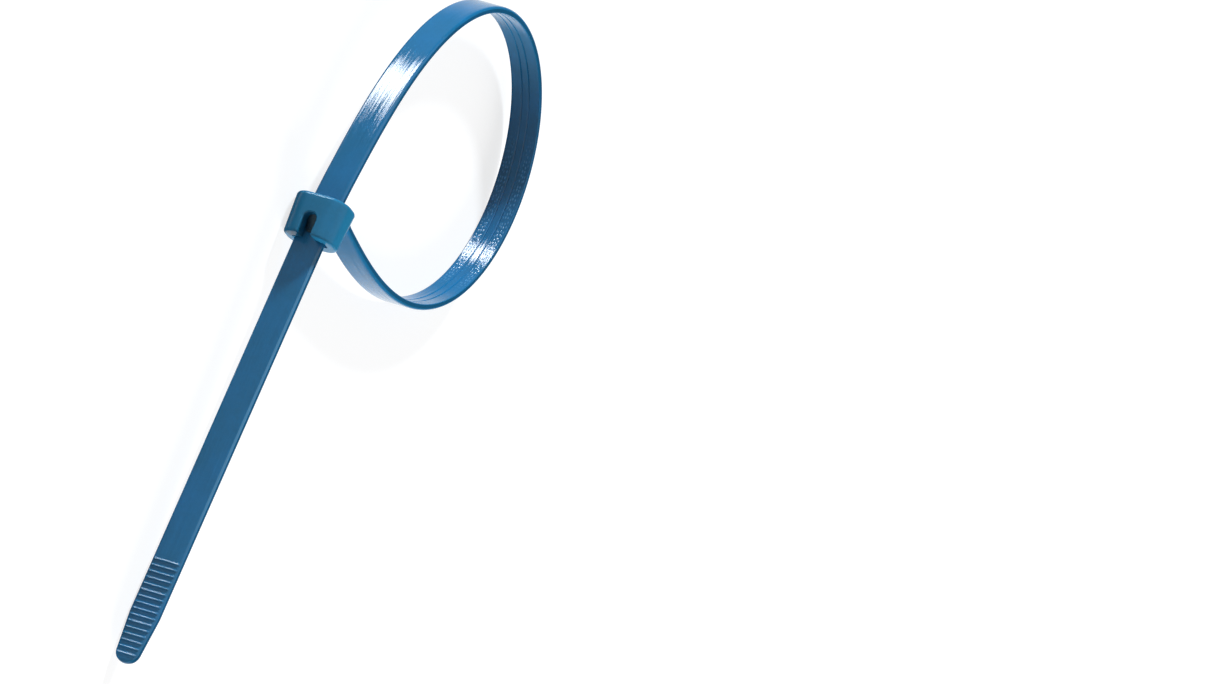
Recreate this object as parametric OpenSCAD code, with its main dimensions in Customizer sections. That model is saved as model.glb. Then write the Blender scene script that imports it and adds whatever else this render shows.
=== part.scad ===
/* [Strap] */
// Width of the strap
strap_w = 4.7; // [4.2:0.1:5.2]
// Thickness of the strap
strap_t = 0.95; // [0.8:0.05:1.1]
// Rounding of the two long edges of the outer face
outer_edge_r = 0.45; // [0.2:0.05:0.5]
// Bevel of the two long edges of the inner face
inner_bevel = 0.12; // [0.05:0.01:0.2]
// Distance between the two fine grooves of the inner face
groove_gap = 1.12; // [0.8:0.02:1.8]
// Width of a fine groove at its mouth
groove_w = 0.26; // [0.16:0.02:0.4]
// Depth of a fine groove
groove_d = 0.1; // [0.05:0.01:0.15]

/* [Loop] */
// Radius of the round bundle that the far side of the loop seats on
bundle_r = 21.1; // [17:0.1:25]
// Length of each easing leg as a multiple of the bend radius
ease_ratio = 2.17; // [1.7:0.01:2.3]
// Lean of both legs of the loop from square to the head, in degrees
leg_lean = 8.3; // [4:0.1:9]
// Reach of the gentle bend in the passage to each side of where the legs cross
bend_reach = 5; // [3:0.1:5]

/* [Tail] */
// Length of the tail from the exit face of the head to its tip
tail_len = 66.8; // [50:0.2:90]
// Length of the tapered end of the tail
taper_len = 7.5; // [5:0.5:12]
// Width of the tail where the rounded tip begins
tip_w = 3.7; // [3:0.1:4.1]
// Number of grip ribs near the tip
rib_count = 16; // [8:1:20]
// Spacing of the grip ribs
rib_pitch = 0.97; // [0.8:0.01:1.2]
// Distance from the tip to the nearest rib
rib_first = 1.2; // [1:0.05:3]
// Radius of the rounded crest of a rib
rib_r = 0.24; // [0.2:0.01:0.28]
// Height of a rib above the outer face
rib_rise = 0.14; // [0.08:0.01:0.16]

/* [Head] */
// Height of the head along the passage of the strap
head_h = 6.3; // [5.8:0.1:7.5]
// Width of the head at its entry side
head_w = 8.6; // [8.2:0.1:10]
// Width of the head at its exit side
head_exit_w = 8.1; // [7.6:0.1:8.6]
// Depth of the head from the passage to the front face
head_front = 2.85; // [2.7:0.05:3.4]
// Depth of the head from the passage to the back face
head_back = 3.2; // [3:0.05:4]
// Extra depth that the draft adds to the front and back at the entry side
head_draft = 0.2; // [0:0.05:0.3]
// Radius of the upright corners of the head
head_corner_r = 2.7; // [1.4:0.1:2.8]
// Rounding of the rim at the exit face
exit_rim_r = 0.4; // [0.2:0.05:0.6]
// Rounding of the rim at the entry face
entry_rim_r = 0.55; // [0.3:0.05:0.8]
// Clearance between the strap and the passage on each flat side
passage_gap = 0.2; // [0.1:0.02:0.3]
// Clearance between the strap and the passage at each edge
passage_side_gap = 0.2; // [0.12:0.02:0.3]
// Width of the pocket and of the notch in the front face
notch_w = 2.15; // [1.8:0.05:2.4]
// Depth of the pocket and of the notch below the exit face
notch_depth = 3.4; // [3:0.05:3.8]
// Thickness of the rim left behind the pocket
pocket_rim = 0.5; // [0.4:0.05:0.8]

/* [Root] */
// Distance of the root of the strap behind the entry face, to its middle
root_depth = 0.6; // [0.5:0.05:1.2]
// Widening of the strap on each side where it joins the head
root_flare = 0.7; // [0.3:0.05:1]
// Thickening of the outer face of the strap where it joins the head
root_thick = 0.8; // [0.3:0.05:1]
// Length of the flare beyond the back face
root_flare_len = 2.6; // [1.5:0.1:3.5]

/* [Barb] */
// Clearance between the locking barb and the notch on each side
barb_side_gap = 0.27; // [0.15:0.01:0.4]
// Thickness of the locking barb
barb_t = 0.3; // [0.2:0.02:0.4]
// Length of the foot of the barb that the front wall holds
barb_foot = 1.4; // [1:0.1:1.6]
// Depth of the tip of the barb below the exit face
barb_tip_depth = 1.1; // [0.6:0.1:1.6]
// Tilt of the barb towards the strap, in degrees
barb_tilt = 24; // [18:1:26]
// Clearance of the barb to the strap and to its seat
barb_gap = 0.04; // [0.03:0.01:0.08]

/* [Hidden] */

deg = 180 / PI;
half_w = strap_w / 2;
half_t = strap_t / 2;
groove_at = groove_gap / 2;
groove_half = groove_w / 2;

// Thin skin of the inner face, which the round seat trims to a true cylinder
seat_skin = 0.02;

// Heading and place along an easing leg, whose curvature grows evenly from nothing
bend_r = bundle_r + half_t;
ease_len = ease_ratio * bend_r;
ease_turn = ease_len / (2 * bend_r) * deg;
function ease_heading(s) = s * s / (2 * ease_len * bend_r) * deg;
ease_parts = 240;
ease_ds = ease_len / ease_parts;
ease_walk = [for (i = 0, p = [0, 0]; i <= ease_parts;
    p = p + ease_ds * [cos(ease_heading((i + 0.5) * ease_ds)), sin(ease_heading((i + 0.5) * ease_ds))],
    i = i + 1) p];
ease_end = ease_walk[ease_parts];

// The loop is symmetric about the diagonal of its two square legs, which fixes the straight start
loop_c = ease_end[1] + bend_r * cos(ease_turn);
leg_straight = loop_c + bend_r * sin(ease_turn) - ease_end[0];

// The loop is turned so that both legs lean; a station is a point of the centre line and its heading
frame_turn = 90 - leg_lean;
function turned(p, a) = [p[0] * cos(a) - p[1] * sin(a), p[0] * sin(a) + p[1] * cos(a)];
function station(p, heading) = concat(turned(p, frame_turn), [heading + frame_turn]);
loop_centre = turned([loop_c, loop_c], frame_turn);

// Stations of the loop, close together near the root where the strap flares
root_start = 1.5;
root_fine = 7;
ease_pick = 15;
arc_steps = 34;
arc_sweep = 270 - 2 * ease_turn;
out_picks = concat(
    [for (i = [0 : root_fine - 1]) 2 * i],
    [for (i = [1 : ease_parts / ease_pick - 1]) i * ease_pick]);
root_stations = [station([root_start, 0], 0)];
out_stations = [for (i = out_picks) station([leg_straight, 0] + ease_walk[i], ease_heading(i * ease_ds))];
arc_stations = [for (i = [0 : arc_steps]) let (h = ease_turn + arc_sweep * i / arc_steps)
    station([loop_c + bend_r * sin(h), loop_c - bend_r * cos(h)], h)];
in_stations = [for (i = [ease_parts - ease_pick : -ease_pick : 0])
    let (p = [leg_straight, 0] + ease_walk[i])
    if (norm(p) > bend_reach + 0.5) station([p[1], p[0]], 270 - ease_heading(i * ease_ds))];

// The gentle bend from the leaning leg to the straight tail is a short arc through the passage
bend_steps = 5;
bend_radius = bend_reach / tan(leg_lean / 2);
bend_stations = [for (i = [0 : bend_steps]) let (h = -leg_lean + leg_lean * i / bend_steps)
    [bend_reach + bend_radius * sin(h), bend_radius * (1 - cos(h)), h + 360]];
entry_x = -root_depth;
exit_x = head_h - root_depth;
entry_rise = (bend_reach - entry_x) * (bend_reach - entry_x) / (2 * bend_radius);

// The tail narrows along its taper and ends in a rounded tip
tip_x = exit_x + tail_len;
tip_r = tip_w / 2;
tip_start = tip_x - tip_r;
taper_start = tip_x - taper_len;
tip_steps = 7;
tip_last = 80;
function tail_half(x) =
    x <= taper_start ? half_w
    : x <= tip_start ? half_w + (tip_r - half_w) * (x - taper_start) / (tip_start - taper_start)
    : sqrt(max(0, tip_r * tip_r - (x - tip_start) * (x - tip_start)));
tail_x = concat([taper_start], [for (i = [0 : tip_steps]) tip_start + tip_r * sin(tip_last * i / tip_steps)]);
tail_stations = [for (x = tail_x) [x, 0, 360]];

path = concat(root_stations, out_stations, arc_stations, in_stations, bend_stations, tail_stations);
stations_n = len(path);
root_n = len(root_stations) + len(out_stations);

// Flare is 1 at the back face of the head and fades to 0 along the root
function fade(d) = d <= 0 ? 1 : d >= 1 ? 0 : (1 - d) * (1 - d);
function flare(i) = i < root_n ? fade((path[i][1] - head_back) / root_flare_len) : 0;
function station_half(i) = i < stations_n - len(tail_x) ? half_w + root_flare * flare(i) : tail_half(path[i][0]);

// The last two stations thin out, which rounds the tip in side view
tip_thin = 0.25;
function station_thin(i) = 1 - tip_thin * max(0, i - (stations_n - 3));

// Cross section from the outer face round to the inner face and back, as [across, outward]
edge_steps = 3;
function edge_arc(mid, top, r, from, to) =
    [for (k = [0 : edge_steps]) let (a = from + (to - from) * k / edge_steps)
        [mid + r * cos(a), top - r + r * sin(a)]];
function groove(at, low, f) = [[(at + groove_half) * f, low], [at * f, low + groove_d], [(at - groove_half) * f, low]];
function section(w, thin, thick) =
    let (f = w / half_w, top = half_t * thin + thick, low = -half_t * thin - seat_skin, r = outer_edge_r * min(f, thin))
    concat(
        edge_arc(w - r, top, r, 90, 0),
        [[w, low + inner_bevel], [w - inner_bevel * f, low]],
        groove(groove_at, low, f),
        groove(-groove_at, low, f),
        [[-w + inner_bevel * f, low], [-w, low + inner_bevel]],
        edge_arc(-w + r, top, r, 180, 90));
section_n = 2 * (edge_steps + 1) + 10;

function raised(p, q) = [p[0] + sin(p[2]) * q[1], p[1] - cos(p[2]) * q[1], q[0]];
ring_points = [for (i = [0 : stations_n - 1])
    for (q = section(station_half(i), station_thin(i), root_thick * flare(i))) raised(path[i], q)];
start_cap = len(ring_points);
end_cap = start_cap + 1;
strap_points = concat(ring_points, [raised(path[0], [0, 0]), raised(path[stations_n - 1], [0, 0])]);
strap_faces = concat(
    [for (i = [0 : stations_n - 2]) for (j = [0 : section_n - 1])
        let (a = i * section_n + j, b = i * section_n + (j + 1) % section_n) [a, b, b + section_n]],
    [for (i = [0 : stations_n - 2]) for (j = [0 : section_n - 1])
        let (a = i * section_n + j, b = i * section_n + (j + 1) % section_n) [a, b + section_n, a + section_n]],
    [for (j = [0 : section_n - 1]) [(j + 1) % section_n, j, start_cap]],
    [for (j = [0 : section_n - 1]) let (k = (stations_n - 1) * section_n)
        [k + j, k + (j + 1) % section_n, end_cap]]);

module strap_band() {
    polyhedron(points = strap_points, faces = strap_faces, convexity = 8);
}

// Ribs across the outer face of the tail, which end within its rounded edges
module grip_ribs() {
    for (i = [0 : rib_count - 1]) {
        x = tip_x - rib_first - i * rib_pitch;
        reach = tail_half(x) - outer_edge_r / 2;
        translate([x, rib_r - rib_rise - half_t, -reach])
            cylinder(r = rib_r, h = 2 * reach, $fn = 24);
    }
}

// A flat outline drawn with its width across is stood up along the passage from x
module along_passage(x, length) {
    translate([x, 0, 0])
        multmatrix([[0, 0, 1, 0], [0, 1, 0, 0], [-1, 0, 0, 0], [0, 0, 0, 1]])
            linear_extrude(height = length)
                children();
}

// Outline of the head; draft is 1 at the entry side and 0 at the exit side
module head_outline(draft, inset) {
    w = head_exit_w + (head_w - head_exit_w) * draft;
    front = head_front + head_draft * draft;
    back = head_back + head_draft * draft;
    r = head_corner_r - inset;
    translate([0, (back - front) / 2])
        offset(r = r, $fn = 32)
            square([w - 2 * head_corner_r, front + back - 2 * head_corner_r], center = true);
}

slice = 0.01;
rim_steps = 3;
module head_block() {
    hull() {
        for (k = [0 : rim_steps]) {
            a = 90 * k / rim_steps;
            along_passage(entry_x + entry_rim_r * (1 - sin(a)), slice)
                head_outline(1, entry_rim_r * (1 - cos(a)));
            along_passage(exit_x - slice - exit_rim_r * (1 - sin(a)), slice)
                head_outline(0, exit_rim_r * (1 - cos(a)));
        }
    }
}

// The passage clears the strap on all sides, also where the strap comes in at a slant
over = 0.5;
passage_front = half_t + passage_gap;
passage_back = half_t + seat_skin + entry_rise + passage_gap;
passage_end_r = 0.4;
module passage() {
    along_passage(entry_x - over, head_h + 2 * over)
        translate([0, (passage_back - passage_front) / 2])
            offset(r = passage_end_r, $fn = 24)
                square([
                    strap_w + 2 * passage_side_gap - 2 * passage_end_r,
                    passage_front + passage_back - 2 * passage_end_r], center = true);
}

// Pocket open at the exit face and through the front face, with a round floor
floor_r = notch_w / 2;
floor_x = exit_x - notch_depth + floor_r;
floor_steps = 12;
pocket_front = head_front + head_draft + over;
pocket_back = head_back - pocket_rim;
module pocket() {
    translate([0, pocket_back, 0])
        rotate([90, 0, 0])
            linear_extrude(height = pocket_front + pocket_back)
                polygon(concat(
                    [[exit_x + over, -floor_r], [exit_x + over, floor_r]],
                    [for (k = [0 : floor_steps]) let (a = 90 + 180 * k / floor_steps)
                        [floor_x + floor_r * cos(a), floor_r * sin(a)]]));
}

// The barb stands in the front wall and leans to the strap, and its tip just clears the outer face
barb_w = notch_w - 2 * barb_side_gap;
barb_len = (notch_depth - barb_tip_depth) / cos(barb_tilt) + barb_foot;
module barb_blank(gap) {
    translate([exit_x - barb_tip_depth, -half_t - barb_gap, 0])
        rotate([0, 0, barb_tilt])
            translate([-barb_len - gap, -barb_t - gap, -barb_w / 2 - gap])
                cube([barb_len + gap, barb_t + 2 * gap, barb_w + 2 * gap]);
}

module bundle_seat() {
    translate([loop_centre[0], loop_centre[1], -strap_w])
        cylinder(r = bundle_r, h = 2 * strap_w, $fn = 180);
}

// The tie lies on its side and rests on the head, the tail and the far side of the loop.
// The floor rises from the low corner of the head by these slopes along X and Y.
rest_drop = head_w / 2 - half_w;
low_corner = [entry_x + entry_rim_r, head_back + head_draft - head_corner_r, -head_w / 2];
loop_reach = bend_r + half_t - outer_edge_r;
slope_x = rest_drop / (taper_start - low_corner[0]);
loop_drop = rest_drop - slope_x * (loop_centre[0] - low_corner[0]);
loop_y = loop_centre[1] - low_corner[1];
slope_q = loop_y * loop_y - loop_reach * loop_reach;
slope_y = (loop_drop * loop_y - sqrt(
    loop_drop * loop_drop * loop_y * loop_y
    - slope_q * (loop_drop * loop_drop - loop_reach * loop_reach * slope_x * slope_x))) / slope_q;
turn_x = -atan(slope_y);
turn_y = atan(slope_x * cos(turn_x));
function laid(p) =
    let (y = p[1] * cos(turn_x) - p[2] * sin(turn_x), z = p[1] * sin(turn_x) + p[2] * cos(turn_x))
    [p[0] * cos(turn_y) + z * sin(turn_y), y, z * cos(turn_y) - p[0] * sin(turn_y)];

// The origin is on the floor, under the middle of the resting tie
front_corner = [for (k = [0 : rim_steps]) let (a = 90 * k / rim_steps)
    [low_corner[0], head_corner_r * (1 - sin(a)) - head_front - head_draft,
        head_corner_r * (1 - cos(a)) - head_w / 2]];
laid_points = [for (p = concat(ring_points, front_corner)) laid(p)];
function middle(axis) = (min([for (p = laid_points) p[axis]]) + max([for (p = laid_points) p[axis]])) / 2;
origin_shift = [-middle(0), -middle(1), -laid(low_corner)[2]];

module rested() {
    translate(origin_shift)
        rotate([turn_x, turn_y, 0])
            children();
}

module tie_body() {
    color([0.15, 0.42, 0.66])
        rested()
            difference() {
                union() {
                    difference() {
                        head_block();
                        passage();
                        pocket();
                        barb_blank(barb_gap);
                    }
                    strap_band();
                    grip_ribs();
                }
                bundle_seat();
            }
}

module locking_barb() {
    color([0.75, 0.76, 0.78])
        rested()
            barb_blank(0);
}

tie_body();
locking_barb();
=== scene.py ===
import math

import bmesh
import bpy
import numpy as np
from mathutils import Matrix, Vector


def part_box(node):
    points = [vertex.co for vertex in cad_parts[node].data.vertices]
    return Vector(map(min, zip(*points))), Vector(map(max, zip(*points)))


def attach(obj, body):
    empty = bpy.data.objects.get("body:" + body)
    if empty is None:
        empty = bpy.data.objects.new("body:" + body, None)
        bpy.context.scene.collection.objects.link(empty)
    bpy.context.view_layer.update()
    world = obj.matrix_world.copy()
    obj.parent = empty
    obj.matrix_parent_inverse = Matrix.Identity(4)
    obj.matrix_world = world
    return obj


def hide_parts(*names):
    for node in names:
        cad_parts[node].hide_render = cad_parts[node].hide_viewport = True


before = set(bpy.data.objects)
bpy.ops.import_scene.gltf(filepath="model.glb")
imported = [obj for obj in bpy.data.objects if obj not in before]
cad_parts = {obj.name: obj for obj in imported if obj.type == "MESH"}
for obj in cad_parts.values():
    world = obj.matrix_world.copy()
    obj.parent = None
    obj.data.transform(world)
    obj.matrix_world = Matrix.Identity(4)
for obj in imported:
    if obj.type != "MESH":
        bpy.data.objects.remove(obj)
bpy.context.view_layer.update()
BODY_BOX = [Vector(corner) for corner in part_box("tie_body")]

# Driving sizes of the tie, in millimetres
# Strap: its section, with two grooves in the inner face
STRAP_W = 4.7
STRAP_T = 0.95
OUTER_EDGE_R = 0.45
INNER_BEVEL = 0.12
GROOVE_GAP = 1.12
GROOVE_W = 0.26
GROOVE_D = 0.1

# Loop: a round far side, legs that straighten towards the head, and a gentle bend into the passage
BUNDLE_R = 21.1
EASE_RATIO = 2.17
LEG_LEAN = math.radians(8.3)
BEND_REACH = 5.0

# Tail, with grip ribs counted from the tip
TAIL_LEN = 66.8
TAPER_LEN = 7.5
TIP_W = 3.7
TIP_THIN = 0.5
TIP_THIN_LEN = 0.6
RIB_COUNT = 16
RIB_PITCH = 0.97
RIB_FIRST = 1.2
RIB_R = 0.24
RIB_RISE = 0.14
RIB_END_LEN = 0.22

# Head: a drafted block with rounded corners; front and back are measured from the strap's middle
HEAD_H = 6.3
HEAD_W = 8.6
HEAD_EXIT_W = 8.1
HEAD_FRONT = 2.85
HEAD_BACK = 3.2
HEAD_DRAFT = 0.2
HEAD_CORNER_R = 2.7
EXIT_RIM_R = 0.4
ENTRY_RIM_R = 0.55

# Passage for the strap and pocket for the barb, with the rounding of their mouths
PASSAGE_GAP = 0.2
PASSAGE_SIDE_GAP = 0.2
PASSAGE_END_R = 0.4
NOTCH_W = 2.15
NOTCH_DEPTH = 3.4
POCKET_RIM = 0.5
POCKET_CORNER_R = 0.05
MOUTH_R = 0.16

# Root of the strap, which grows wider and thicker into the back of the head
ROOT_START = 1.5
ROOT_DEPTH = 0.6
ROOT_FLARE = 0.7
ROOT_THICK = 0.8
ROOT_FLARE_LEN = 2.6

# Barb: a strip held by its foot, with its tip ground thinner and narrower
BARB_SIDE_GAP = 0.27
BARB_T = 0.3
BARB_CORNER_R = 0.06
BARB_FOOT = 1.4
BARB_TIP_DEPTH = 1.1
BARB_TILT = math.radians(24)
BARB_GAP = 0.04
BARB_GRIND_LEN = 0.35
BARB_GRIND_T = 0.75 * BARB_T
BARB_GRIND_SIDE = 0.12

# Places along the passage, measured from the point where the legs of the loop cross
HALF_W = STRAP_W / 2
HALF_T = STRAP_T / 2
BEND_R = BUNDLE_R + HALF_T
BEND_ARC_R = BEND_REACH / math.tan(LEG_LEAN / 2)
ENTRY_X = -ROOT_DEPTH
EXIT_X = HEAD_H - ROOT_DEPTH
TIP_X = EXIT_X + TAIL_LEN
TIP_R = TIP_W / 2
TIP_START = TIP_X - TIP_R
TAPER_START = TIP_X - TAPER_LEN

# How far the tools that cut the head reach past its faces
CUT_PAST = 1.0

# Distance between the cuts along the strap, which are closer at the root, the ribs and the tip
ROOT_ZONE = 6.0
ROOT_STEP = 0.2
LOOP_STEP = 0.45
RIB_STEP = 0.05
TIP_ZONE = 1.0
TIP_LAST_TURN = math.radians(86)

# Steps of the strap's section, and of the rounded rims and mouths of the head
FACE_STEPS = 6
EDGE_STEPS = 8
BEVEL_STEPS = 3
FLAT_STEPS = 5
GROOVE_STEPS = 8
RIM_STEPS = 8
MOUTH_STEPS = 4

# Points of the section whose side is above this carry the grip ribs
RIB_SIDE = 0.3

# Edges where two faces meet at more than this stay sharp
SHARP_ANGLE = math.radians(32)


# Centre line of the strap

def easing_leg(parts=1200):
    """Points and headings of a leg whose curvature grows evenly to that of the far side."""
    length = EASE_RATIO * BEND_R
    step = length / parts
    middle = (np.arange(parts) + 0.5) * step
    heading = middle ** 2 / (2 * length * BEND_R)
    x = np.concatenate([[0], np.cumsum(np.cos(heading)) * step])
    y = np.concatenate([[0], np.cumsum(np.sin(heading)) * step])
    return x, y, (np.arange(parts + 1) * step) ** 2 / (2 * length * BEND_R)


def loop_line(root_parts=10, far_parts=600):
    """The loop from the root to the gentle bend, turned so that both legs lean; also its centre.

    The legs cross at a right angle, so the loop turns three quarters round."""
    whole_turn = 1.5 * math.pi
    x, y, turn = easing_leg()
    centre = y[-1] + BEND_R * math.cos(turn[-1])
    straight = centre + BEND_R * math.sin(turn[-1]) - x[-1]
    far = np.linspace(turn[-1], whole_turn - turn[-1], far_parts)[1:-1]
    root = np.linspace(ROOT_START, straight, root_parts)[:-1]
    px = np.concatenate([root, x + straight, centre + BEND_R * np.sin(far), y[::-1]])
    py = np.concatenate([0 * root, y, centre - BEND_R * np.cos(far), x[::-1] + straight])
    heading = np.concatenate([0 * root, turn, far, whole_turn - turn[::-1]])
    lean = math.pi / 2 - LEG_LEAN
    cos, sin = math.cos(lean), math.sin(lean)
    wx = px * cos - py * sin
    wy = px * sin + py * cos
    outward = np.arange(len(px)) < len(px) / 2
    keep = outward | (np.hypot(px, py) > BEND_REACH)
    middle = Vector((centre * (cos - sin), centre * (sin + cos)))
    return wx[keep], wy[keep], heading[keep] + lean, middle


def centre_line(bend_parts=20, tail_parts=200, tip_parts=40):
    """The whole strap from root to tip as travelled distance, place and heading."""
    wx, wy, wh, _ = loop_line()
    bend = np.linspace(-LEG_LEAN, 0, bend_parts)
    tail = np.linspace(BEND_REACH, TIP_START, tail_parts)[1:]
    tip = TIP_START + TIP_R * np.sin(np.linspace(0, TIP_LAST_TURN, tip_parts)[1:])
    x = np.concatenate([wx, BEND_REACH + BEND_ARC_R * np.sin(bend), tail, tip])
    y = np.concatenate([wy, BEND_ARC_R * (1 - np.cos(bend)), 0 * tail, 0 * tip])
    heading = np.concatenate([wh, 2 * math.pi + bend, 0 * tail + 2 * math.pi, 0 * tip + 2 * math.pi])
    travelled = np.concatenate([[0], np.cumsum(np.hypot(np.diff(x), np.diff(y)))])
    return travelled, x, y, heading


LINE = centre_line()
STRAP_LEN = LINE[0][-1]
TAIL_FROM = STRAP_LEN - TAIL_LEN
RIBS_FROM = STRAP_LEN - RIB_FIRST - RIB_COUNT * RIB_PITCH


def stations():
    """Travelled distance, place and heading at each cut through the strap."""
    travelled, x, y, heading = LINE
    fine_from = RIBS_FROM - RIB_PITCH / 2
    at = np.concatenate([
        np.arange(0, ROOT_ZONE, ROOT_STEP),
        np.arange(ROOT_ZONE, fine_from, LOOP_STEP),
        np.arange(fine_from, STRAP_LEN - TIP_ZONE, RIB_STEP),
        travelled[x > TIP_X - TIP_ZONE]])
    return zip(at, *(np.interp(at, travelled, values) for values in (x, y, heading)))


# Nodes of the materials

def node(tree, kind, **values):
    made = tree.nodes.new(kind)
    for key, value in values.items():
        if key in made.inputs:
            made.inputs[key].default_value = value
        else:
            setattr(made, key, value)
    return made


def maths(tree, operation, *sources):
    """A math node whose inputs are sockets or plain numbers."""
    made = node(tree, "ShaderNodeMath", operation=operation)
    for socket, source in zip(made.inputs, sources):
        if isinstance(source, (int, float)):
            socket.default_value = source
        else:
            tree.links.new(source, socket)
    return made.outputs[0]


def vectors(tree, operation, first, other=None, scale=None):
    """A vector node on one or two vectors, or on a vector and a scale."""
    made = node(tree, "ShaderNodeVectorMath", operation=operation)
    tree.links.new(first, made.inputs[0])
    if other:
        tree.links.new(other, made.inputs[1])
    if scale:
        tree.links.new(scale, made.inputs["Scale"])
    return made.outputs[0]


def scaled(tree, vector, scale):
    made = node(tree, "ShaderNodeMapping")
    made.inputs["Scale"].default_value = scale
    tree.links.new(vector, made.inputs["Vector"])
    return made.outputs["Vector"]


def split(tree, vector):
    made = node(tree, "ShaderNodeSeparateXYZ")
    tree.links.new(vector, made.inputs[0])
    return made.outputs


def noise(tree, vector, scale, detail):
    made = node(tree, "ShaderNodeTexNoise", Scale=scale, Detail=detail)
    tree.links.new(vector, made.inputs["Vector"])
    return made.outputs["Fac"]


def ramp(tree, value, low_at, high_at, tones):
    """A colour that runs from the first tone to the second between two values."""
    made = node(tree, "ShaderNodeValToRGB")
    for stop, at, colour in zip(made.color_ramp.elements, (low_at, high_at), tones):
        stop.position = at
        stop.color = (*colour, 1)
    tree.links.new(value, made.inputs["Fac"])
    return made.outputs["Color"]


def mixed(tree, colour, tone, share):
    """The colour, taken towards a plain tone by the share."""
    made = node(tree, "ShaderNodeMix", data_type="RGBA", blend_type="MIX")
    tree.links.new(share, made.inputs["Factor"])
    tree.links.new(colour, made.inputs[6])
    made.inputs[7].default_value = (*tone, 1)
    return made.outputs[2]


def between(tree, value, low_at, high_at, low, high):
    """A number that eases from low to high between two values."""
    made = node(tree, "ShaderNodeMapRange", interpolation_type="SMOOTHSTEP")
    limits = {"From Min": low_at, "From Max": high_at, "To Min": low, "To Max": high}
    for name, number in limits.items():
        made.inputs[name].default_value = number
    tree.links.new(value, made.inputs["Value"])
    return made.outputs["Result"]


def band(tree, value, rise_from, rise_to, fall_from, fall_to):
    """1 between two values, easing in before and out after."""
    rising = between(tree, value, rise_from, rise_to, 0.0, 1.0)
    falling = between(tree, value, fall_from, fall_to, 1.0, 0.0)
    return maths(tree, "MULTIPLY", rising, falling)


def bumped(tree, height, distance, strength, normal=None):
    made = node(tree, "ShaderNodeBump", Strength=strength, Distance=distance)
    tree.links.new(height, made.inputs["Height"])
    if normal:
        tree.links.new(normal, made.inputs["Normal"])
    return made.outputs["Normal"]


# Tones and gloss of the nylon
STRAP_TONES = ((0.012, 0.138, 0.275), (0.014, 0.165, 0.370))
HEAD_TONES = ((0.015, 0.162, 0.290), (0.017, 0.194, 0.385))
DOT_TONE = (0.10, 0.31, 0.55)
# Paler tone of the tail's shoulders: a painted highlight
SHOULDER_HIGHLIGHT_TONE = (0.058, 0.234, 0.42)
# Darkening of the strap's rims: painted shade
RIM_PAINTED_SHADE = 0.55
NYLON_IOR = 1.53
STRAP_GLOSS = 0.5
HEAD_GLOSS = 0.35
STRAP_ROUGH = (0.08, 0.12)
HEAD_ROUGH = (0.22, 0.26)

# Fineness of the noise, in cells per metre, and depth of the finest grain in metres
CLOUD_FINE = 170.0
SPECK_FINE = 2400.0
GRAIN_FINE = 5200.0
GRAIN_DEPTH = 0.00001

# Marks of the strap, in cells per millimetre along and across it, with their depths in metres
LINE_CELLS = (0.04, 6.0, 1.0)
LINE_DEPTH = 0.00003
DRAWN_CELLS = (0.09, 3.6, 1.0)
DRAWN_TILT = 0.16
DOT_CELLS = (1.35, 2.6, 1.0)
DOT_HEIGHT = 0.00002
DOT_EDGE = (0.14, 0.4)
DOT_STRENGTH = 0.9

# Where the dots lie across and along the strap, and how the painted highlight on the shoulders fades, in
# millimetres
DOT_ROWS = (0.8, 0.95, 1.95, 2.1)
DOT_STRETCH = (45.0, 52.0, 66.0, 76.0)
SHOULDER_START = 2.0
SHOULDER_FADE = 12.0

# Where marks begin and end round the section, by its side from 1 outside over 0 at the rim to -1 inside
DOT_SIDE = (-0.99, -0.9)
RIM_SIDE = (0.05, 0.4)
SHOULDER_SIDE = (0.25, 0.5, 0.88, 0.98)

# Steel of the barb, darkened to paint the shade of the notch, with its noise in cells per metre
STEEL_NOTCH_SHADE_TONES = ((0.04, 0.08, 0.105), (0.09, 0.14, 0.175))
STEEL_FINE = (400.0, 9000.0, 9000.0)
STEEL_ROUGH = 0.34


def strap_coordinates(tree):
    """The strap's own coordinates in millimetres, and from them the travelled distance and the place
    across it; last comes its side, from 1 outside to -1 inside."""
    along = node(tree, "ShaderNodeUVMap", uv_map="along").outputs["UV"]
    place = split(tree, along)
    side = split(tree, node(tree, "ShaderNodeUVMap", uv_map="side").outputs["UV"])["X"]
    return along, place["X"], place["Y"], side


def inner_dots(tree, along, travelled, across, side):
    """Small raised dots in rows beside the grooves, on the part of the inner face that shows them."""
    cells = node(tree, "ShaderNodeTexVoronoi", voronoi_dimensions="2D", Scale=1.0, Randomness=0.55)
    tree.links.new(scaled(tree, along, DOT_CELLS), cells.inputs["Vector"])
    dot = between(tree, cells.outputs["Distance"], *DOT_EDGE, 1.0, 0.0)
    rows = band(tree, maths(tree, "ABSOLUTE", across), *DOT_ROWS)
    stretch = band(tree, travelled, *DOT_STRETCH)
    inside = between(tree, side, *DOT_SIDE, 1.0, 0.0)
    where = maths(tree, "MULTIPLY", stretch, inside)
    return maths(tree, "MULTIPLY", maths(tree, "MULTIPLY", dot, rows), where)


def painted_shoulder_highlight(tree, travelled, side):
    """The rounded outer edges of the tail, painted paler as a highlight from the head to the grip ribs."""
    start = (TAIL_FROM, TAIL_FROM + SHOULDER_START)
    end = (RIBS_FROM - SHOULDER_FADE, RIBS_FROM + SHOULDER_START)
    return maths(tree, "MULTIPLY", band(tree, side, *SHOULDER_SIDE), band(tree, travelled, *start, *end))


def strap_colour(tree, colour, dots, travelled, side):
    """The nylon's colour with paler dots, a painted highlight on the shoulders and painted shade on the
    rims.
    """
    colour = mixed(tree, colour, DOT_TONE, maths(tree, "MULTIPLY", dots, DOT_STRENGTH))
    # Painted highlight on the tail's shoulders
    colour = mixed(tree, colour, SHOULDER_HIGHLIGHT_TONE, painted_shoulder_highlight(tree, travelled, side))
    # Painted shade on both rims of the strap
    shade = between(tree, maths(tree, "ABSOLUTE", side), *RIM_SIDE, RIM_PAINTED_SHADE, 1.0)
    return vectors(tree, "SCALE", colour, scale=shade)


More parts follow.
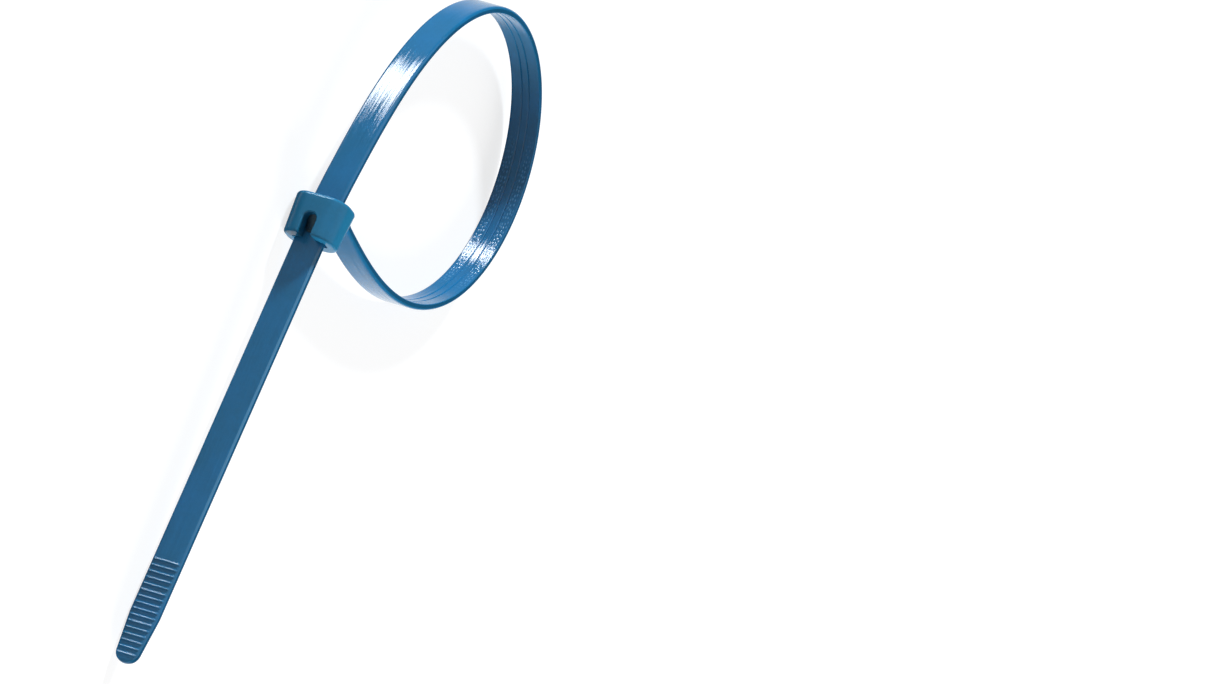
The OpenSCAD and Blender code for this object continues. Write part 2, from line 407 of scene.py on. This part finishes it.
def strap_normal(tree, normal, along, dots):
    """Fine lines along the strap, the dots, and a slight waviness that draws a reflection out in streaks."""
    line = noise(tree, scaled(tree, along, LINE_CELLS), 1.0, 3.0)
    normal = bumped(tree, line, LINE_DEPTH, 0.6, normal)
    normal = bumped(tree, dots, DOT_HEIGHT, 1.0, normal)
    drawn = noise(tree, scaled(tree, along, DRAWN_CELLS), 1.0, 3.0)
    tilt = maths(tree, "MULTIPLY", maths(tree, "SUBTRACT", drawn, 0.5), DRAWN_TILT)
    tangent = node(tree, "ShaderNodeTangent", direction_type="UV_MAP", uv_map="along").outputs["Tangent"]
    normal = vectors(tree, "ADD", normal, vectors(tree, "SCALE", tangent, scale=tilt))
    return vectors(tree, "NORMALIZE", normal)


def nylon_material(name, tones, gloss, roughness, on_strap):
    """Blue moulded nylon: cloudy colour, fine speckle and grain, and on the strap drawn lines and dots."""
    material = bpy.data.materials.new(name)
    material.use_nodes = True
    tree = material.node_tree
    surface = tree.nodes["Principled BSDF"]
    surface.inputs["IOR"].default_value = NYLON_IOR
    surface.inputs["Specular IOR Level"].default_value = gloss
    place = node(tree, "ShaderNodeTexCoord").outputs["Object"]
    cloud = noise(tree, place, CLOUD_FINE, 3.0)
    speck = noise(tree, place, SPECK_FINE, 2.0)
    tone = maths(tree, "MULTIPLY_ADD", cloud, 0.75, maths(tree, "MULTIPLY", speck, 0.25))
    colour = ramp(tree, tone, 0.3, 0.7, tones)
    normal = bumped(tree, noise(tree, place, GRAIN_FINE, 3.0), GRAIN_DEPTH, 0.12)
    if on_strap:
        along, travelled, across, side = strap_coordinates(tree)
        dots = inner_dots(tree, along, travelled, across, side)
        colour = strap_colour(tree, colour, dots, travelled, side)
        normal = strap_normal(tree, normal, along, dots)
    tree.links.new(colour, surface.inputs["Base Color"])
    tree.links.new(between(tree, speck, 0.3, 0.7, *roughness), surface.inputs["Roughness"])
    tree.links.new(normal, surface.inputs["Normal"])
    return material


def steel_material():
    """Brushed steel, darkened as painted shade of the notch, with fine lines along the strip."""
    material = bpy.data.materials.new("barb_strip")
    material.use_nodes = True
    tree = material.node_tree
    surface = tree.nodes["Principled BSDF"]
    surface.inputs["Metallic"].default_value = 1.0
    surface.inputs["Roughness"].default_value = STEEL_ROUGH
    place = node(tree, "ShaderNodeTexCoord").outputs["Object"]
    lines = noise(tree, scaled(tree, place, STEEL_FINE), 1.0, 2.0)
    # Steel tones darkened as painted shade of the notch
    tree.links.new(ramp(tree, lines, 0.3, 0.7, STEEL_NOTCH_SHADE_TONES), surface.inputs["Base Color"])
    return material


HEAD_NYLON = nylon_material("moulded_nylon_head", HEAD_TONES, HEAD_GLOSS, HEAD_ROUGH, False)
STRAP_NYLON = nylon_material("moulded_nylon_strap", STRAP_TONES, STRAP_GLOSS, STRAP_ROUGH, True)


# Meshes

def finished(mesh, name, materials=()):
    """Turns a bmesh into an object of the scene, its faces turned outward and in the last material."""
    bmesh.ops.recalc_face_normals(mesh, faces=mesh.faces)
    data = bpy.data.meshes.new(name)
    mesh.to_mesh(data)
    mesh.free()
    for material in materials:
        data.materials.append(material)
    for polygon in data.polygons:
        polygon.material_index = max(0, len(materials) - 1)
    made = bpy.data.objects.new(name, data)
    bpy.context.scene.collection.objects.link(made)
    return made


def skinned(mesh, rings):
    """Joins rings of vertices into one closed skin."""
    count = len(rings[0])
    for a, b in zip(rings, rings[1:]):
        for j in range(count):
            k = (j + 1) % count
            mesh.faces.new((a[j], a[k], b[k], b[j]))
    mesh.faces.new(rings[0][::-1])
    mesh.faces.new(rings[-1])


def lofted(rings, name):
    """A closed solid through rings of points, with the two coordinate layers of the strap left empty."""
    mesh = bmesh.new()
    skinned(mesh, [[mesh.verts.new(point) for point in ring] for ring in rings])
    mesh.loops.layers.uv.new("along")
    mesh.loops.layers.uv.new("side")
    return finished(mesh, name, (HEAD_NYLON,))


def combined(base, tool, operation):
    """The base after an exact boolean with the tool, which is removed."""
    step = base.modifiers.new("combine", "BOOLEAN")
    step.object = tool
    step.operation = operation
    step.solver = "EXACT"
    step.material_mode = "TRANSFER"
    shape = bpy.data.meshes.new_from_object(base.evaluated_get(bpy.context.evaluated_depsgraph_get()))
    base.modifiers.clear()
    base.data = shape
    bpy.data.objects.remove(tool)
    return base


def placed(thing, place):
    """Moves the mesh to its place and smooths it, apart from its sharp edges."""
    thing.data.transform(place)
    thing.data.set_sharp_from_angle(angle=SHARP_ANGLE)
    for polygon in thing.data.polygons:
        polygon.use_smooth = True
    return thing


def quarter_turn(steps):
    return np.linspace(0, math.pi / 2, steps + 1)


def rounded_ring(half_w, front, back, r, steps=12):
    """A rounded rectangle as (across, depth) points, counterclockwise."""
    right, left = half_w - r, -half_w + r
    high, low = back - r, r - front
    ring = []
    for cz, cy, start in ((right, high, 0), (left, high, 90), (left, low, 180), (right, low, 270)):
        for k in range(steps + 1):
            a = math.radians(start + 90 * k / steps)
            ring.append((cz + r * math.cos(a), cy + r * math.sin(a)))
    return ring


# Cross section of the strap

def tail_half(x):
    """Half the width of the tail, which narrows to a round tip."""
    if x <= TAPER_START:
        return HALF_W
    if x <= TIP_START:
        return HALF_W + (TIP_R - HALF_W) * (x - TAPER_START) / (TIP_START - TAPER_START)
    return math.sqrt(max(0.0, TIP_R ** 2 - (x - TIP_START) ** 2))


def rib_height(x, z, half):
    """Height of the grip ribs over the outer face, which ends within the rounded edges."""
    nearest = min(max(round((TIP_X - RIB_FIRST - x) / RIB_PITCH), 0), RIB_COUNT - 1)
    across = x - (TIP_X - RIB_FIRST - nearest * RIB_PITCH)
    if abs(across) >= RIB_R:
        return 0.0
    crest = math.sqrt(RIB_R ** 2 - across ** 2) - (RIB_R - RIB_RISE)
    end = (half - OUTER_EDGE_R / 2 - abs(z)) / RIB_END_LEN
    return max(0.0, crest) * min(max(end, 0.0), 1.0) ** 0.5


def groove_depth(z):
    """Depth of the two grooves of the inner face, each with a rounded floor."""
    off = abs(abs(z) - GROOVE_GAP / 2) / (GROOVE_W / 2)
    return GROOVE_D * math.cos(off * math.pi / 2) ** 1.5 if off < 1 else 0.0


def half_section(half, thin, thick):
    """Half of the section from the middle of the outer face to the middle of the inner face.

    Each point holds its place across, its height, and its side from 1 outside to -1 inside."""
    share = half / HALF_W
    top = HALF_T * thin + thick
    low = -HALF_T * thin
    edge_r = OUTER_EDGE_R * min(share, thin)
    bevel = INNER_BEVEL * min(share, thin)
    points = [((half - edge_r) * k / FACE_STEPS, top, 1.0) for k in range(FACE_STEPS)]
    for a in quarter_turn(EDGE_STEPS):
        sin, cos = math.sin(a), math.cos(a)
        points.append((half - edge_r + edge_r * sin, top - edge_r + edge_r * cos, cos))
    for a in quarter_turn(BEVEL_STEPS):
        sin, cos = math.sin(a), math.cos(a)
        points.append((half - bevel + bevel * cos, low + bevel - bevel * sin, -sin))
    inner = (half - bevel) / share
    groove_from, groove_to = (GROOVE_GAP + GROOVE_W) / 2, (GROOVE_GAP - GROOVE_W) / 2
    flat = np.linspace(inner, groove_from, FLAT_STEPS + 1)[1:]
    groove = np.linspace(groove_from, groove_to, GROOVE_STEPS + 1)[1:]
    for z in [*flat, *groove, groove[-1] / 2]:
        points.append((z * share, low + groove_depth(z) * min(share, thin), -1.0))
    points.append((0.0, low, -1.0))
    return points


def section(half, thin, thick):
    """The whole section, as its half and the mirror image of that."""
    right = half_section(half, thin, thick)
    return right + [(-z, out, side) for z, out, side in right[-2:0:-1]]


def root_share(y):
    """1 at the back face of the head, fading to 0 along the root."""
    off = min(max((y - HEAD_BACK) / ROOT_FLARE_LEN, 0.0), 1.0)
    return (1 - off) ** 2


def loop_section(at, y):
    """Section of the loop, wider and thicker where the root grows out of the head."""
    share = root_share(y) if at < ROOT_ZONE else 0.0
    return section(HALF_W + ROOT_FLARE * share, 1.0, ROOT_THICK * share)


def tail_section(x):
    """Section of the tail, with its ribs and with its tip thinned on the last stretch."""
    half = tail_half(x)
    to_tip = max(0.0, (x - (TIP_X - TIP_THIN_LEN)) / TIP_THIN_LEN)
    ring = section(half, 1 - TIP_THIN * to_tip ** 2, 0.0)
    return [(z, out + (rib_height(x, z, half) if side > RIB_SIDE else 0.0), side) for z, out, side in ring]


def strap_mesh():
    """The strap as one closed sweep, with its travelled distance and side kept as two coordinate layers."""
    mesh = bmesh.new()
    rings = []
    marks = {}
    for at, x, y, heading in stations():
        on_tail = x > BEND_REACH and at > STRAP_LEN / 2
        ring = []
        for z, out, side in tail_section(x) if on_tail else loop_section(at, y):
            vert = mesh.verts.new((x + math.sin(heading) * out, y - math.cos(heading) * out, z))
            marks[vert] = (at, z, side)
            ring.append(vert)
        rings.append(ring)
    skinned(mesh, rings)
    along = mesh.loops.layers.uv.new("along")
    sides = mesh.loops.layers.uv.new("side")
    for face in mesh.faces:
        for loop in face.loops:
            at, z, side = marks[loop.vert]
            loop[along].uv = (at, z)
            loop[sides].uv = (side, 0.0)
    return finished(mesh, "strap_sweep", (HEAD_NYLON, STRAP_NYLON))


# Head

def head_ring(x, draft, inset):
    """Outline of the head at one height; draft is 1 at the entry face and 0 at the exit face."""
    half_w = (HEAD_EXIT_W + (HEAD_W - HEAD_EXIT_W) * draft) / 2 - inset
    front = HEAD_FRONT + HEAD_DRAFT * draft - inset
    back = HEAD_BACK + HEAD_DRAFT * draft - inset
    return [(x, y, z) for z, y in rounded_ring(half_w, front, back, HEAD_CORNER_R - inset)]


def rim_steps(face, inward, r):
    """Places and insets of a rounded rim, from its face to the full width."""
    turns = quarter_turn(RIM_STEPS)[::-1]
    return [(face + inward * r * (1 - math.sin(a)), r * (1 - math.cos(a))) for a in turns]


def head_block():
    low = ENTRY_X + ENTRY_RIM_R
    high = EXIT_X - EXIT_RIM_R
    rings = [head_ring(x, 1, inset) for x, inset in rim_steps(ENTRY_X, 1, ENTRY_RIM_R)]
    rings += [head_ring(low + (high - low) * t, 1 - t, 0) for t in np.linspace(0, 1, 8)[1:-1]]
    rings += [head_ring(x, 0, inset) for x, inset in rim_steps(EXIT_X, -1, EXIT_RIM_R)[::-1]]
    return lofted(rings, "head_block")


def mouth_steps(face, inward):
    """Places and widenings of a rounded mouth at a face; inward is the way into the material."""
    rounding = []
    for a in quarter_turn(MOUTH_STEPS):
        rounding.append((face + inward * MOUTH_R * math.sin(a), MOUTH_R * (1 - math.sin(a))))
    return [(face - inward * CUT_PAST, MOUTH_R)] + rounding


def passage_cutter():
    """The passage for the strap, with room at the back for the gentle bend."""
    rise = (BEND_REACH - ENTRY_X) ** 2 / (2 * BEND_ARC_R)
    front = HALF_T + PASSAGE_GAP
    back = HALF_T + rise + PASSAGE_GAP
    half_w = HALF_W + PASSAGE_SIDE_GAP
    rings = []
    for x, e in mouth_steps(ENTRY_X, 1) + mouth_steps(EXIT_X, -1)[::-1]:
        ring = rounded_ring(half_w + e, front + e, back + e, PASSAGE_END_R + e, 5)
        rings.append([(x, y, z) for z, y in ring])
    return lofted(rings, "passage_cutter")


def notch_outline(widen, steps=20):
    """The pocket seen from the front: open at the exit face, with a round floor; (along, across)."""
    r = NOTCH_W / 2 + widen
    floor = EXIT_X - NOTCH_DEPTH + NOTCH_W / 2
    arc = [(floor - r * math.sin(a), r * math.cos(a)) for a in np.linspace(0, math.pi, steps + 1)]
    return [(EXIT_X + CUT_PAST, r)] + arc + [(EXIT_X + CUT_PAST, -r)]


def pocket_cutter():
    """The pocket from the front of the head to its back rim, rounded at the front."""
    steps = mouth_steps(-HEAD_FRONT - HEAD_DRAFT / 2, 1) + [(HEAD_BACK - POCKET_RIM, 0.0)]
    return lofted([[(x, y, z) for x, z in notch_outline(e)] for y, e in steps], "pocket_cutter")


def pocket_mouth_cutter():
    """Rounds the edge of the pocket on the exit face."""
    back = HEAD_BACK - POCKET_RIM
    rings = []
    for x, e in mouth_steps(EXIT_X, -1):
        ring = rounded_ring(NOTCH_W / 2 + e, HEAD_FRONT + CUT_PAST, back + e, POCKET_CORNER_R + e, 4)
        rings.append([(x, y, z) for z, y in ring])
    return lofted(rings, "pocket_mouth_cutter")


tie = combined(head_block(), passage_cutter(), "DIFFERENCE")
tie = combined(tie, pocket_cutter(), "DIFFERENCE")
tie = combined(tie, pocket_mouth_cutter(), "DIFFERENCE")
tie = combined(tie, strap_mesh(), "UNION")
tie.name = "moulded_tie"


# Resting place of the tie: it lies on the head, the far side of the loop and the tail

def resting_turn():
    """Turn of the tie onto the floor, from the slopes of the plane under its three low points."""
    centre = loop_line()[3]
    drop = HEAD_W / 2 - HALF_W
    low_x = ENTRY_X + ENTRY_RIM_R
    low_y = HEAD_BACK + HEAD_DRAFT - HEAD_CORNER_R
    reach = BEND_R + HALF_T - OUTER_EDGE_R
    slope_x = drop / (TAPER_START - low_x)
    loop_drop = drop - slope_x * (centre.x - low_x)
    loop_y = centre.y - low_y
    spread = loop_y ** 2 - reach ** 2
    fall = loop_drop ** 2 - (reach * slope_x) ** 2
    slope_y = (loop_drop * loop_y - math.sqrt((loop_drop * loop_y) ** 2 - spread * fall)) / spread
    turn_x = -math.atan(slope_y)
    turn_y = math.atan(slope_x * math.cos(turn_x))
    return Matrix.Rotation(turn_y, 4, "Y") @ Matrix.Rotation(turn_x, 4, "X")


def resting_place(thing):
    """Turns the tie to lie on the floor, inside the box of its solid."""
    laid = resting_turn()
    spots = np.array([laid @ v.co for v in thing.data.vertices])
    low, high = spots.min(axis=0), spots.max(axis=0)
    room = np.array(BODY_BOX[1] - BODY_BOX[0])
    fit = min(room / (high - low))
    middle = (np.array(BODY_BOX[0]) + np.array(BODY_BOX[1])) / 2 - fit * (low + high) / 2
    return Matrix.Translation(Vector(middle)) @ Matrix.Scale(fit, 4) @ laid


PLACE = resting_place(tie)
placed(tie, PLACE)


# Barb

def barb_mesh():
    """A thin strip with rounded long edges and a tip ground to an edge, lying along -X from its tip."""
    half = NOTCH_W / 2 - BARB_SIDE_GAP
    length = (NOTCH_DEPTH - BARB_TIP_DEPTH) / math.cos(BARB_TILT) + BARB_FOOT
    body = np.linspace(-length, -BARB_GRIND_LEN, 14)
    ground_end = np.linspace(-BARB_GRIND_LEN, 0, 5)[1:]
    mesh = bmesh.new()
    rings = []
    for x in np.concatenate([body, ground_end]):
        ground = max(0.0, (x + BARB_GRIND_LEN) / BARB_GRIND_LEN)
        thick = BARB_T - BARB_GRIND_T * ground
        ring = rounded_ring(half - BARB_GRIND_SIDE * ground, thick, 0, min(BARB_CORNER_R, thick / 3), 4)
        rings.append([mesh.verts.new((x, y, z)) for z, y in ring])
    skinned(mesh, rings)
    return finished(mesh, "steel_barb", (steel_material(),))


barb = barb_mesh()
barb_tip = Matrix.Translation((EXIT_X - BARB_TIP_DEPTH, -HALF_T - BARB_GAP, 0))
placed(barb, PLACE @ barb_tip @ Matrix.Rotation(BARB_TILT, 4, "Z"))

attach(tie, "root")
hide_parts("tie_body")
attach(barb, "root")
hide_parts("locking_barb")


# Camera, found by matching the loop and the tail in the picture

VIEW_EL = math.radians(25.62)
VIEW_ROLL = math.radians(105.86)
VIEW_TURN = math.radians(-17.46)
PIXELS_PER_MM = 7.1256
PICTURE_W = 1220
PICTURE_H = 684
CROSSING_PX = (325.1, 205.5)
CAMERA_DISTANCE = 4.0
SENSOR_W = 36
MM = 0.001


def view_axes():
    """The picture's right and down and the way to the camera, as directions in the world."""
    side = Vector((1, 0, 0))
    rise = Vector((0, math.sin(VIEW_EL), math.cos(VIEW_EL)))
    toward = Vector((0, -math.cos(VIEW_EL), math.sin(VIEW_EL)))
    right = math.cos(VIEW_ROLL) * side + math.sin(VIEW_ROLL) * rise
    down = math.sin(VIEW_ROLL) * side - math.cos(VIEW_ROLL) * rise
    to_world = PLACE.to_3x3().normalized() @ Matrix.Rotation(-VIEW_TURN, 3, "Z")
    return [to_world @ v for v in (right, down, toward)]


def place_camera():
    """A long lens far off, aimed so that the legs of the loop cross at their place in the picture."""
    right, down, toward = view_axes()
    crossing = PLACE @ Vector((0, 0, 0))
    pixel = MM / PIXELS_PER_MM
    aim = crossing + right * (PICTURE_W / 2 - CROSSING_PX[0]) * pixel
    aim += down * (PICTURE_H / 2 - CROSSING_PX[1]) * pixel
    camera = bpy.data.objects.new("camera", bpy.data.cameras.new("camera"))
    bpy.context.scene.collection.objects.link(camera)
    turned = Matrix((right, -down, toward)).transposed().to_4x4()
    camera.matrix_world = Matrix.Translation(aim + toward * CAMERA_DISTANCE) @ turned
    camera.data.sensor_width = SENSOR_W
    camera.data.lens = SENSOR_W * CAMERA_DISTANCE / (PICTURE_W * pixel)
    camera.data.clip_start = 0.05
    camera.data.clip_end = 20
    return camera


bpy.context.scene.camera = place_camera()


# Floor

FLOOR_SIZE = 6.0
FLOOR_DROP = 0.00002
FLOOR_TONE = 0.75
FLOOR_SEEN = 1.3
FLOOR_GLOW = 0.76


def plane(name, size):
    mesh = bmesh.new()
    bmesh.ops.create_grid(mesh, x_segments=1, y_segments=1, size=size / 2)
    return finished(mesh, name)


def floor_material():
    """Pale floor that the camera sees as white with a soft shadow of the tie."""
    material = bpy.data.materials.new("floor_paint")
    material.use_nodes = True
    tree = material.node_tree
    tree.nodes.remove(tree.nodes["Principled BSDF"])
    plain = node(tree, "ShaderNodeBsdfDiffuse", Color=(FLOOR_TONE, FLOOR_TONE, FLOOR_TONE, 1))
    shaded = node(tree, "ShaderNodeBsdfDiffuse", Color=(FLOOR_SEEN, FLOOR_SEEN, FLOOR_SEEN, 1))
    bright = node(tree, "ShaderNodeEmission", Color=(1, 1, 1, 1), Strength=1.0)
    seen = node(tree, "ShaderNodeMixShader", Fac=FLOOR_GLOW)
    tree.links.new(shaded.outputs[0], seen.inputs[1])
    tree.links.new(bright.outputs[0], seen.inputs[2])
    choice = node(tree, "ShaderNodeMixShader")
    tree.links.new(node(tree, "ShaderNodeLightPath").outputs["Is Camera Ray"], choice.inputs[0])
    tree.links.new(plain.outputs[0], choice.inputs[1])
    tree.links.new(seen.outputs[0], choice.inputs[2])
    tree.links.new(choice.outputs[0], tree.nodes["Material Output"].inputs["Surface"])
    return material


floor = plane("floor", FLOOR_SIZE)
floor.location.z = -FLOOR_DROP
floor.data.materials.append(floor_material())
floor.visible_glossy = False


# Lamps

def direction(azimuth, elevation):
    a, e = math.radians(azimuth), math.radians(elevation)
    return Vector((math.cos(e) * math.cos(a), math.cos(e) * math.sin(a), math.sin(e)))


def sun(name, azimuth, elevation, spread, level, colour):
    """A soft lamp far away; at level 1 a white surface facing it is exactly white."""
    light = bpy.data.lights.new(name, "SUN")
    light.angle = math.radians(spread)
    light.energy = level * math.pi
    light.color = colour
    made = bpy.data.objects.new(name, light)
    bpy.context.scene.collection.objects.link(made)
    made.rotation_euler = direction(azimuth, elevation).to_track_quat("Z", "Y").to_euler()
    made.visible_glossy = False


sun("key", azimuth=-168, elevation=23, spread=8, level=1.27, colour=(0.92, 1.0, 1.07))
sun("fill", azimuth=52, elevation=20, spread=40, level=1.35, colour=(1.0, 1.0, 1.0))


# Surroundings: brightness of the studio's walls as gloss sees them, by azimuth in degrees

AMBIENT = 0.2
PANEL = 24.0
WALLS = [
    (-180, 0.3), (-152.5, 0.4), (-148.5, PANEL), (-139.5, PANEL), (-135.5, 0.3), (-109, 0.4),
    (-66, 0.3), (-24, 0.35), (19, 0.45), (57, 0.35), (66, 0.72), (78, 1.0),
    (91, 1.15), (117, 0.9), (145, 0.7), (169, 0.2), (180, 0.3)]

# Heights between which the walls fade, and what is left of them above and below
WALL_TOP = (-0.2, 0.1)
ABOVE_WALLS = 0.6
WALL_FOOT = (-0.66, -0.5)
BELOW_WALLS = 0.1
CEILING = 0.7
CEILING_EDGE = (0.42, 0.75)
CEILING_LEAN = -0.6


def wall_ring(tree, look):
    """The walls' brightness round the tie, as a share of the panel's."""
    turn = maths(tree, "ARCTAN2", look["Y"], look["X"])
    walls = node(tree, "ShaderNodeValToRGB")
    stops = walls.color_ramp.elements
    while len(stops) < len(WALLS):
        stops.new(0.5)
    for stop, (azimuth, level) in zip(stops, WALLS):
        share = level / PANEL
        stop.position = azimuth / 360 + 0.5
        stop.color = (share, share, share, 1)
    tree.links.new(maths(tree, "MULTIPLY_ADD", turn, 0.5 / math.pi, 0.5), walls.inputs["Fac"])
    return walls.outputs["Color"]


def studio_world():
    """White to the camera, an even glow for soft light, and walls and a ceiling for gloss."""
    world = bpy.data.worlds.new("studio")
    world.use_nodes = True
    tree = world.node_tree
    look = split(tree, node(tree, "ShaderNodeTexCoord").outputs["Generated"])
    over = between(tree, look["Z"], *WALL_TOP, PANEL, ABOVE_WALLS)
    under = between(tree, look["Z"], *WALL_FOOT, BELOW_WALLS, 1.0)
    height = maths(tree, "MULTIPLY", over, under)
    lean = maths(tree, "MULTIPLY_ADD", look["Y"], CEILING_LEAN, look["Z"])
    ceiling = between(tree, lean, *CEILING_EDGE, 0.0, CEILING)
    gloss = maths(tree, "MULTIPLY_ADD", wall_ring(tree, look), height, ceiling)
    paths = node(tree, "ShaderNodeLightPath").outputs
    soft = maths(tree, "MULTIPLY", maths(tree, "SUBTRACT", 1.0, paths["Is Glossy Ray"]), AMBIENT)
    other = maths(tree, "MULTIPLY_ADD", gloss, paths["Is Glossy Ray"], soft)
    background = tree.nodes["Background"]
    background.inputs["Color"].default_value = (1, 1, 1, 1)
    tree.links.new(maths(tree, "MAXIMUM", other, paths["Is Camera Ray"]), background.inputs["Strength"])
    return world


bpy.context.scene.world = studio_world()
bpy.context.scene.view_settings.view_transform = "Standard"
